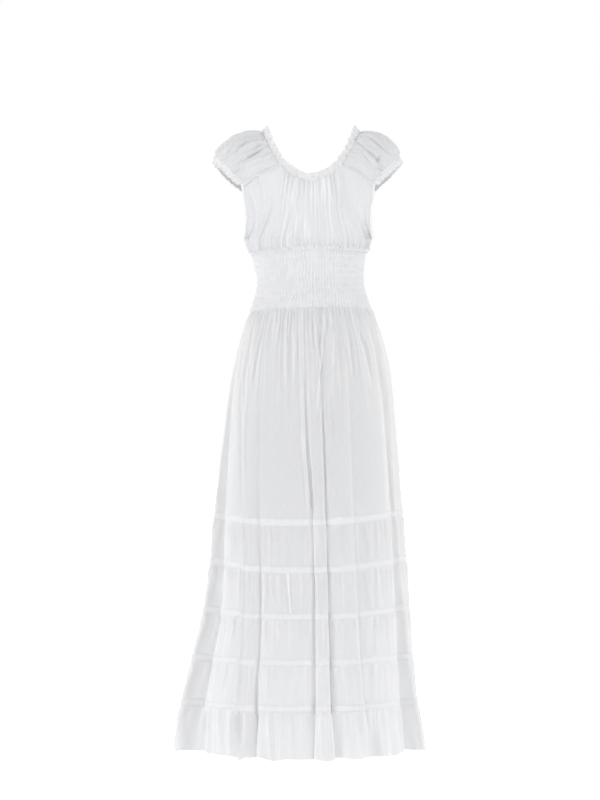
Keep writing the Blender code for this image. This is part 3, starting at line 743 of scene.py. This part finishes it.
class Route:
    # a smooth line through points, measured by its length
    def __init__(self, points, closed=False):
        points = [np.asarray(p, float) for p in points]
        self.count = len(points)
        self.first = 3 if closed else 0
        if closed:
            points = points[-3:] + points + points[:4]
        self.points = np.array(points)
        steps = np.linalg.norm(np.diff(self.points, axis=0), axis=1)
        self.knots = np.concatenate([[0], np.cumsum(steps)])

    def at(self, place):
        return curveThrough(self.knots, self.points, place)

    def place(self, start, end, share):
        a, b = self.knots[self.first + start], self.knots[self.first + end]
        return a + (b - a) * np.asarray(share, float)

    def between(self, start, end, share):
        return self.at(self.place(start, end, share))

    def length(self, start, end):
        return abs(self.knots[self.first + end] - self.knots[self.first + start])

    def direction(self, place):
        step = 0.0005
        return unit(self.at(place + step) - self.at(place - step))


# the lower bodice is fuller than the smocking it is sewn to, most at the sides and low down
blouseFit = {"low": dress["waistTop"], "high": -0.165, "side": 0.011, "middle": 0.004, "power": 0.65}
level = np.array((1.0, 1.0, 0.0))


def blouse(points):
    low, high = blouseFit["low"], blouseFit["high"]
    share = np.clip((points[..., 2] - low) / (high - low), 0.0, 1.0)
    out = unit(points * level)
    fullness = blouseFit["middle"] + (blouseFit["side"] - blouseFit["middle"]) * out[..., :1] ** 2
    return points + out * fullness * np.sin(np.pi * share ** blouseFit["power"])[..., None]


def neckRoute():
    left = [np.array(p) for p in neckSeam]
    right = [p * np.array((-1.0, 1.0, 1.0)) for p in left[-2:0:-1]]
    return Route(left + right, closed=True)


def armRoute(side):
    points = []
    for x, y, z in armSeam:
        wide = min(x, armFit["from"]) * armFit["panel"][side]
        wide += max(x - armFit["from"], 0.0) * armFit["cap"][side]
        points.append((side * wide, y, z))
    return Route(points, closed=True)


def neckNumber(face, side):
    return neckRaglan[face] if side > 0 else 2 * (len(neckSeam) - 1) - neckRaglan[face]


def raglanRoute(neck, arm, face, side):
    start = neck.between(neckNumber(face, side), 0, 0.0)
    end = arm.between(armJunction[face], 0, 0.0)
    x, y, z = raglanMiddle[face]
    return Route([start, (side * x, y, z), end])


def edgePatch(u, v, bottom, top, left, right):
    # a surface between four edges, sampled at u across and v up
    u, v = u[None, :, None], v[:, None, None]
    leftLine = left[:1] * (1 - v[:, 0]) + left[-1:] * v[:, 0]
    rightLine = right[:1] * (1 - v[:, 0]) + right[-1:] * v[:, 0]
    points = bottom[None] * (1 - v) + top[None] * v
    points = points + (left - leftLine)[:, None] * (1 - u) ** 3
    return points + (right - rightLine)[:, None] * u**3


bodice = {
    "columns": 260, "rows": 64, "tall": 0.165, "flat": (0.45, 0.185), "raglanShare": 0.24, "blades": 0.010,
    "bust": 0.018, "bustOff": 0.20, "bustWide": 0.16, "gathersEnd": 0.24, "gathersFade": 0.09,
}
# gathers of each panel, two layers from the neckline down and one from the waist up
bodiceLayers = (
    (61, 34, 0.0024, 0.05, 0.24, 0.006, 0.8),
    (62, 70, 0.0010, 0.02, 0.08, 0.003, 0.6),
    (63, 52, 0.0027, 0.02, 0.10, 0.005, 0.8),
)
bodiceCreases = {
    "back": (
        (0.0022, 0.004, ((0.128, -0.070), (0.108, -0.120), (0.100, -0.180))),
        (0.0018, 0.004, ((0.146, -0.110), (0.128, -0.150), (0.120, -0.215))),
        (0.0018, 0.004, ((-0.118, -0.080), (-0.104, -0.130), (-0.100, -0.190))),
        (0.0022, 0.004, ((-0.136, -0.120), (-0.120, -0.170), (-0.112, -0.230))),
        (0.0016, 0.003, ((-0.020, -0.100), (-0.014, -0.160), (-0.016, -0.230))),
    ),
    "front": (
        (0.0022, 0.004, ((0.110, -0.110), (0.092, -0.150), (0.088, -0.200))),
        (0.0022, 0.004, ((-0.112, -0.115), (-0.096, -0.155), (-0.090, -0.205))),
        (0.0016, 0.004, ((0.020, -0.140), (0.024, -0.190), (0.018, -0.240))),
    ),
}


# Raglan seams: the doubled seam allowance shows as a bright band on the bodice side. Its rows have their
# share of the width and their height over the seam.
raglanSeam = {
    "width": 0.0075, "steps": 40, "slope": 0.30,
    "rows": ((-0.10, 0.0005), (0.0, 0.0010), (0.5, 0.0012), (0.9, 0.0011), (1.0, 0.0004)),
}


def makeRaglanSeam(face, side, name):
    route = raglanRoute(neckRoute(), armRoute(side), face, side)
    seam = route.between(0, 2, np.linspace(0.0, 1.0, raglanSeam["steps"]))
    away = np.array((0.0, 1.0 if face == "back" else -1.0, 0.35))
    along = unit(np.gradient(seam, axis=0))
    down = turnedTo(unit(np.cross(along, away)), np.array((0.0, 0.0, -1.0)))
    out = turnedTo(np.cross(along, down), away)
    rows = []
    for share, lift in raglanSeam["rows"]:
        wide = raglanSeam["width"] * share
        rows.append(seam + down * wide + out * (lift + raglanSeam["slope"] * max(wide, 0.0)))
    points = facingOut(np.stack(rows), out, False)
    flat = (round(route.length(0, 2), 3), 0.010)
    return sewnPiece(clothPiece(name, points, flat, thickness=0.0005), seamCloth)


def sideEdge(face, side, v):
    # the side seam from the waist to the underarm, and the armhole from there to the raglan seam
    arm, ends = armRoute(side), (underarm, armJunction[face])
    waist = outlinePoints(0.0 if side > 0 else 180.0, dress["waistTop"])
    pit = arm.between(*ends, 0)
    seam = np.linalg.norm(pit - waist)
    part = seam / (seam + arm.length(*ends))
    low = waist + (pit - waist) * np.clip(v / part, 0, 1)[:, None]
    high = arm.between(*ends, np.clip((v - part) / (1 - part), 0, 1))
    return np.where((v < part)[:, None], low, high)


def topEdge(face, u):
    # the raglan seam of the left sleeve, the neckline and the raglan seam of the right sleeve
    neck, share = neckRoute(), bodice["raglanShare"]
    raglans = {side: raglanRoute(neck, armRoute(side), face, side) for side in (1, -1)}
    middle, raglan = (0 if face == "back" else 10), neckRaglan[face]
    across = np.clip((u - share) / (1 - 2 * share), 0, 1)
    left = raglans[1].between(2, 0, np.clip(u / share, 0, 1))
    right = raglans[-1].between(0, 2, np.clip((u - 1 + share) / share, 0, 1))
    line = neck.between(raglan, 2 * middle - raglan, across)
    line = np.where((u > 1 - share)[:, None], right, line)
    return np.where((u < share)[:, None], left, line)


def bodiceGathers(face, u, seedStep):
    # rows from the neckline down
    drops = np.linspace(0, bodice["tall"], bodice["rows"])
    shares = u if face == "back" else 1 - u
    coarse, fine, waist = (
        gatherRelief(shares, drops, layer, False, seedStep) for layer in bodiceLayers
    )
    atNeck = smoothStep((0.5 - np.abs(u - 0.5) - bodice["gathersEnd"]) / bodice["gathersFade"])
    return ((coarse + fine) * atNeck[None, :] + waist[::-1]) * fadeEnds(u, 12)[None, :]


def makeBodice(face, node, seedStep):
    sign = 1 if face == "back" else -1
    u, v = np.linspace(0, 1, bodice["columns"]), np.linspace(0, 1, bodice["rows"])
    bottom = outlinePoints(sign * 180.0 * u, dress["waistTop"])
    left, right = (sideEdge(face, side, v) for side in (1, -1))
    points = blouse(edgePatch(u, v, bottom, topEdge(face, u), left, right))[::-1]
    fade = (np.abs(np.sin(np.pi * v[::-1])) ** 0.5)[:, None] * fadeEnds(u, 6)[None, :]
    if face == "front":
        offBust = (np.abs(u - 0.5) - bodice["bustOff"]) / bodice["bustWide"]
        fullness = bodice["bust"] * np.exp(-(offBust**2))
    else:
        fullness = np.full(u.shape, bodice["blades"])
    relief = bodiceGathers(face, u, seedStep) + creaseRelief(points, bodiceCreases[face], sign)
    out = unit(points * np.array((1.0, 2.0, 0.0)))
    points = points + out * (fullness[None, :] * fade)[..., None]
    normals = outwards(points, False) * sign
    normals[[0, -1]] = normals[[1, -2]]
    points = points + normals * (relief * smoothStep(fade * 4))[..., None]
    if face == "front":
        points = points[:, ::-1]
    piece = clothPiece(f"{face}Panel", points, bodice["flat"])
    sides = ((1, "Left"), (-1, "Right"))
    strips = [makeRaglanSeam(face, side, f"{face}{word}Raglan") for side, word in sides]
    dressPiece(piece, bodiceVoile, [node])


makeBodice("back", "bodice_back", 0)
makeBodice("front", "bodice_front", 10)

sleeve = {"columns": 150, "rows": 84, "tall": 0.11, "puff": 0.021, "flat": (0.26, 0.155)}
# gathers of each sleeve from the neckline down and from the cuff up
sleeveLayers = ((71, 16, 0.0045, 0.03, 0.10, 0.006, 0.9), (74, 24, 0.0040, 0.02, 0.07, 0.005, 0.8))
sleeveCreases = {
    1: (
        (0.0088, 0.0026, ((0.158, -0.053), (0.131, -0.035), (0.106, -0.020))),
        (0.0052, 0.0032, ((0.178, -0.038), (0.160, -0.018), (0.134, 0.004))),
        (0.0058, 0.0030, ((0.212, -0.022), (0.190, -0.004), (0.158, 0.014))),
        (0.0034, 0.0026, ((0.196, -0.040), (0.186, -0.026), (0.172, -0.010))),
        (0.0034, 0.0026, ((0.168, -0.062), (0.156, -0.046), (0.146, -0.036))),
        (0.0026, 0.0024, ((0.132, -0.030), (0.116, -0.012), (0.104, 0.002))),
    ),
    -1: (
        (0.0068, 0.0028, ((-0.131, 0.007), (-0.160, -0.018), (-0.186, -0.040))),
        (0.0052, 0.0032, ((-0.104, -0.003), (-0.138, -0.034), (-0.172, -0.066))),
        (0.0060, 0.0028, ((-0.158, -0.036), (-0.152, -0.056), (-0.170, -0.072))),
        (0.0034, 0.0026, ((-0.142, -0.071), (-0.156, -0.072), (-0.168, -0.075))),
        (0.0034, 0.0028, ((-0.146, 0.012), (-0.172, -0.002), (-0.190, -0.018))),
        (0.0026, 0.0024, ((-0.112, -0.026), (-0.126, -0.044), (-0.140, -0.064))),
    ),
}


def makeSleeve(side, name, node):
    neck, arm = neckRoute(), armRoute(side)
    back, front = (raglanRoute(neck, arm, face, side) for face in ("back", "front"))
    u, v = np.linspace(0, 1, sleeve["columns"]), np.linspace(0, 1, sleeve["rows"])
    points = edgePatch(
        u, v,
        neck.between(neckNumber("back", side), neckNumber("front", side), u),
        arm.between(len(armSeam), armJunction["front"], u),
        back.between(0, 2, v), front.between(0, 2, v),
    )
    # rows run from the neckline down to the cuff, so they are already top first
    full = np.abs(np.sin(np.pi * u))[None, :] ** 0.85 * np.abs(np.sin(np.pi * v))[:, None] ** 0.72
    drops = v * sleeve["tall"]
    atNeck, atCuff = (gatherRelief(u, drops, layer, False, side) for layer in sleeveLayers)
    points = points - outwards(points, False) * (side * sleeve["puff"] * full)[..., None]
    relief = atNeck + atCuff[::-1]
    for facing in (1, -1):
        relief += creaseRelief(points, sleeveCreases[side], facing)
    points = points - outwards(points, False) * (side * relief * fadeEnds(u, 8)[None, :])[..., None]
    if side > 0:
        points = points[:, ::-1]
    piece = clothPiece(name, points, sleeve["flat"])
    dressPiece(piece, sleeveVoile, [node])


makeSleeve(1, "leftSleeve", "sleeve_left")
makeSleeve(-1, "rightSleeve", "sleeve_right")


def towardsArm(points):
    low, high = armBlend
    t = smoothStep((points[:, 2] - low) / (high - low))[:, None]
    ones = np.ones(len(points))
    aim = (armBelow * (1 - t) + armAbove * t) * np.stack([np.sign(points[:, 0]), ones, ones], axis=1)
    return unit(aim - points)


def towardsNeck(points):
    return unit(neckAxis - points)


# trims: widths of casing and frill, ripples of both, and how far they reach over the seam
trims = {
    "neck": {
        "casing": 0.0100, "frill": 0.0095, "pucker": 0.0024, "ripple": 0.0030, "waves": 48,
        "swell": 0.0004, "overlap": 0.0020, "around": 720,
    },
    "cuff": {
        "casing": 0.0095, "frill": 0.0090, "pucker": 0.0018, "ripple": 0.0020, "waves": 19,
        "swell": 0.0010, "overlap": 0.0016, "around": 260,
    },
    "binding": {
        "casing": 0.0080, "frill": 0.0, "pucker": 0.0003, "ripple": 0.0, "waves": 6,
        "swell": 0.0004, "overlap": 0.0, "around": 140,
    },
}


def trimPiece(name, node, route, places, aim, look, seed, flat, material, closed, outside=False):
    seam = route.at(places)
    inward, along = aim(seam), route.direction(places)
    out = turnedTo(unit(np.cross(along, inward)), seam * level)
    seam = blouse(seam)
    shares = np.linspace(0, 1, len(places), endpoint=not closed)
    chance = np.random.default_rng(seed)
    wander = 1.6 * smoothNoise(chance, max(4, look["waves"] // 3), shares)
    wave = np.sin(2 * np.pi * look["waves"] * shares + wander)
    size = 0.75 + 0.35 * smoothNoise(chance, look["waves"], shares)
    fine = smoothNoise(chance, look["waves"] * 4, shares)
    casing, frill = look["casing"], look["frill"]
    rows = [seam - inward * look["overlap"] + out * 0.0003]
    for share in np.linspace(0, 1, 7):
        held = math.sin(math.pi * (0.12 + 0.88 * share)) ** 0.5
        swell = look["swell"] * held + look["pucker"] * fine * (0.4 + 0.6 * held)
        rows.append(seam + inward * (0.0003 + casing * share) + out * swell[:, None])
    if frill:
        for share in np.linspace(0, 1, 7)[1:]:
            lift = look["ripple"] * share * wave * size + 0.0008 * share * fine
            notch = np.exp(-((np.sin(0.5 * np.arccos(np.clip(wave, -1, 1))) / 0.32) ** 2))
            reach = casing + frill * share * (1 + 0.16 * fine - 0.55 * share * notch * size)
            rows.append(seam + inward * reach[:, None] + out * lift[:, None])
    points = facingOut(np.stack(rows)[::-1], out, closed)
    piece = clothPiece(name, points, flat, closed=closed, outside=outside, thickness=0.0005)
    dressPiece(piece, material, [node])


neck = neckRoute()
neckPlaces = neck.place(0, neck.count, np.arange(trims["neck"]["around"]) / trims["neck"]["around"])
trimPiece(
    "neckCasing", "neck_casing", neck, neckPlaces, towardsNeck, trims["neck"], 81, (0.95, 0.021), dense, True
)
for side, word in ((1, "left"), (-1, "right")):
    arm = armRoute(side)
    share = np.linspace(0.002, 0.998, trims["cuff"]["around"])
    trimPiece(
        f"{word}Cuff", f"cuff_{word}", arm, arm.place(armJunction["front"], len(armSeam), share), towardsArm,
        trims["cuff"], 83 + side, (0.32, 0.0205), dense, False,
    )
    share = np.linspace(0.001, 0.999, trims["binding"]["around"])
    trimPiece(
        f"{word}Binding", f"armhole_binding_{word}", arm, arm.place(0, armJunction["front"], share),
        towardsArm, trims["binding"], 86 + side, (0.36, 0.010), seamCloth, False, outside=True,
    )

# Small frill that stands above the first elastic row of the waist
waistFrill = {
    "around": 640, "height": 0.0085, "below": 0.0012, "clear": 0.0016, "flare": 0.0026, "ripple": 0.0024,
    "waves": 84, "flat": (0.95, 0.010),
}


def makeWaistFrill():
    shares = np.arange(waistFrill["around"]) / waistFrill["around"]
    chance = np.random.default_rng(91)
    wander = 1.5 * smoothNoise(chance, 40, shares)
    wave = np.sin(2 * np.pi * waistFrill["waves"] * shares + wander)
    size = 0.7 + 0.4 * smoothNoise(chance, 60, shares)
    rows = []
    for share in np.linspace(1, 0, 6):
        row = outlinePoints(360 * shares, dress["waistTop"] - waistFrill["below"])
        row[:, 2] += waistFrill["height"] * share * (1 + 0.22 * smoothNoise(chance, 80, shares))
        row = blouse(row)
        lift = waistFrill["flare"] * share + waistFrill["ripple"] * share * wave * size
        rows.append(row + unit(row * level) * (waistFrill["clear"] + lift)[:, None])
    flat = waistFrill["flat"]
    piece = clothPiece("waistFrill", np.stack(rows), flat, closed=True, thickness=0.0005)
    # the frill takes the smocking's darker voile with its painted shade
    dressPiece(piece, shirred, [])


makeWaistFrill()

# Studio: pale floor, soft light and the photograph's viewing angle
studio = {
    "distance": 9.0, "aimHeight": -0.598, "across": 0.025, "lens": 176.0,
    "ambient": 0.74, "floorGlow": 0.12, "side": 186.0, "front": 64.0, "far": 110.0,
}


def whiteForCamera(tree, socket, light):
    # white where the camera looks at it, softer as a source of light
    ray = tree.nodes.new("ShaderNodeLightPath")
    tree.links.new(rangeNode(tree, ray.outputs["Is Camera Ray"], 0.0, 1.0, light, 1.0), socket)


def makeStudio():
    bpy.ops.object.select_all(action="DESELECT")
    bpy.ops.mesh.primitive_circle_add(
        vertices=96, radius=40, fill_type="NGON", location=(0, 0, dress["floor"])
    )
    floor = bpy.context.object
    floor.name = "studioFloor"
    material = bpy.data.materials.new("paleFloor")
    material.use_nodes = True
    shader = material.node_tree.nodes["Principled BSDF"]
    shader.inputs["Base Color"].default_value = (0.90, 0.90, 0.90, 1)
    shader.inputs["Roughness"].default_value = 0.9
    shader.inputs["Emission Color"].default_value = (1, 1, 1, 1)
    whiteForCamera(material.node_tree, shader.inputs["Emission Strength"], studio["floorGlow"])
    floor.data.materials.append(material)
    world = bpy.data.worlds.new("studioWorld")
    bpy.context.scene.world = world
    world.use_nodes = True
    sky = world.node_tree.nodes["Background"]
    sky.inputs["Color"].default_value = (1.0, 1.0, 1.0, 1)
    whiteForCamera(world.node_tree, sky.inputs["Strength"], studio["ambient"])
    target = Vector((0, 0, -0.7))
    for name, place, size, power in (
        ("leftSoftbox", (7.6, 3.6, 0.6), 2.4, studio["side"]),
        ("rightSoftbox", (-7.4, 3.8, 0.2), 2.4, studio["side"] * 0.86),
        ("highSoftbox", (1.0, 8.0, 2.2), 2.0, studio["front"]),
        ("farSoftbox", (-2.0, -7.0, 2.0), 3.0, studio["far"]),
    ):
        bpy.ops.object.light_add(type="AREA", location=place)
        light = bpy.context.object
        light.name = name
        light.data.size = size
        light.data.energy = power
        light.rotation_euler = (target - Vector(place)).to_track_quat("-Z", "Y").to_euler()
    bpy.ops.object.camera_add(location=(studio["across"], studio["distance"], studio["aimHeight"]))
    camera = bpy.context.object
    camera.name = "photoCamera"
    camera.rotation_euler = (math.pi / 2, 0, math.pi)
    camera.data.lens = studio["lens"]
    camera.data.sensor_width = 36
    camera.data.clip_end = 100
    bpy.context.scene.camera = camera
    bpy.context.scene.view_settings.view_transform = "Standard"


makeStudio()
print("studio ready")
